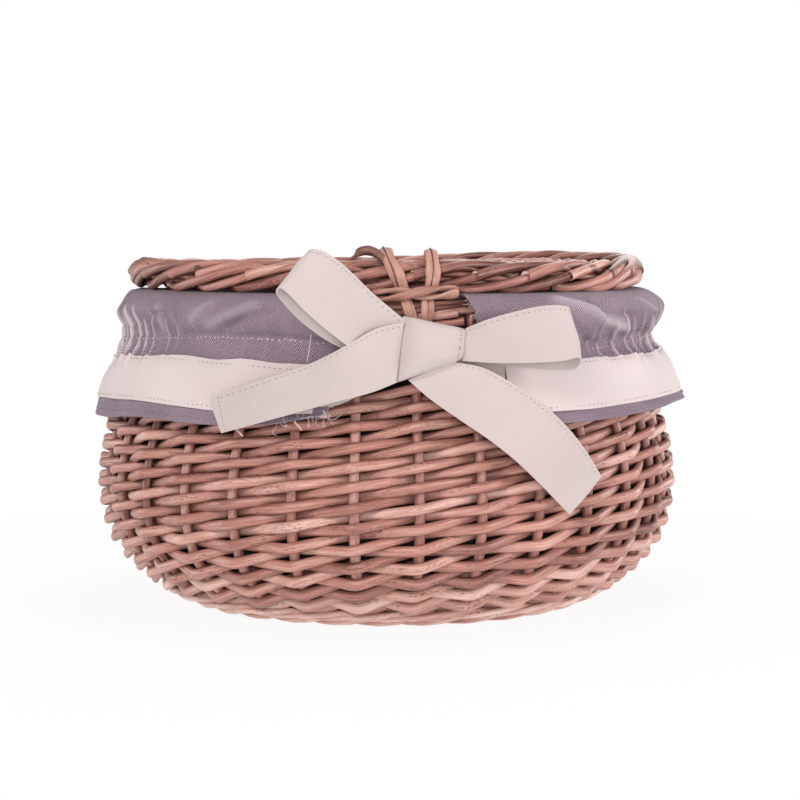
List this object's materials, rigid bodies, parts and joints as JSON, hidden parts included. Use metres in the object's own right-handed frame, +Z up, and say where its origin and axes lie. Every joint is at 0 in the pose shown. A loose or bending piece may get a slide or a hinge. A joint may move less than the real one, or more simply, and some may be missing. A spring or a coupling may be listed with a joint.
{
  "type": "lidded knitting basket",
  "caption": "Round woven willow basket with a lashed wicker lid, a gathered fabric lining turned over the rim and a ribbon bow, for holding yarn and needles.",
  "frame": {"origin": "bottom centre of the whole object's box, on the surface it stands on; the basket's own axis stands 9 mm behind it, because the bow reaches forward", "axes": "+Z up, the lid's lashing and the bow towards -Y"},
  "size_m": [0.3584, 0.3767, 0.2218],
  "materials": {
    "willow": "satin, buff willow",
    "split_willow": "matte, split willow",
    "lining": "matte twill",
    "ribbon": "matte plain-woven cotton"
  },
  "bodies": {
    "basket": {"stakes_and_border": "willow", "weaver_01": "willow", "weaver_02": "willow", "weaver_03": "willow", "weaver_04": "willow", "weaver_05": "willow", "weaver_06": "willow", "weaver_07": "willow", "weaver_08": "willow", "weaver_09": "willow", "weaver_10": "willow", "weaver_11": "willow", "weaver_12": "willow", "weaver_13": "willow", "weaver_14": "willow", "weaver_15": "willow", "weaver_16": "willow", "weaver_17": "willow", "weaver_18": "willow", "weaver_19": "willow", "weaver_20": "willow", "weaver_21": "willow", "weaver_22": "willow", "weaver_23": "willow", "weaver_24": "willow", "weaver_25": "willow", "weaver_26": "willow", "weaver_27": "willow", "weaver_28": "willow", "weaver_29": "willow", "weaver_30": "willow", "top_wale": "willow", "bottom_wale": "willow", "base_sticks": "willow", "base_weave": "willow", "lining_bag": "lining", "lining_cuff": "lining", "cuff_elastic": "lining", "trim_band": "ribbon", "ribbon_tie_left": "ribbon", "ribbon_tie_right": "ribbon", "bow_knot": "ribbon", "bow_loop_left": "ribbon", "bow_loop_right": "ribbon", "bow_tail_left": "ribbon", "bow_tail_right": "ribbon", "rim_loop_left": "split_willow", "rim_loop_right": "split_willow", "hinge_collar": "split_willow"},
    "lid": {"lid_border": "willow", "lid_sticks": "willow", "lid_weave": "willow", "lid_loop_left": "split_willow", "lid_loop_right": "split_willow"}
  },
  "joints": [
    {"name": "lid_hinge", "type": "hinge", "parent": "basket", "child": "lid", "pos_m": [0, -0.1515, 0.1905], "axis": [1, 0, 0], "range_deg": [0, 95]}
  ]
}
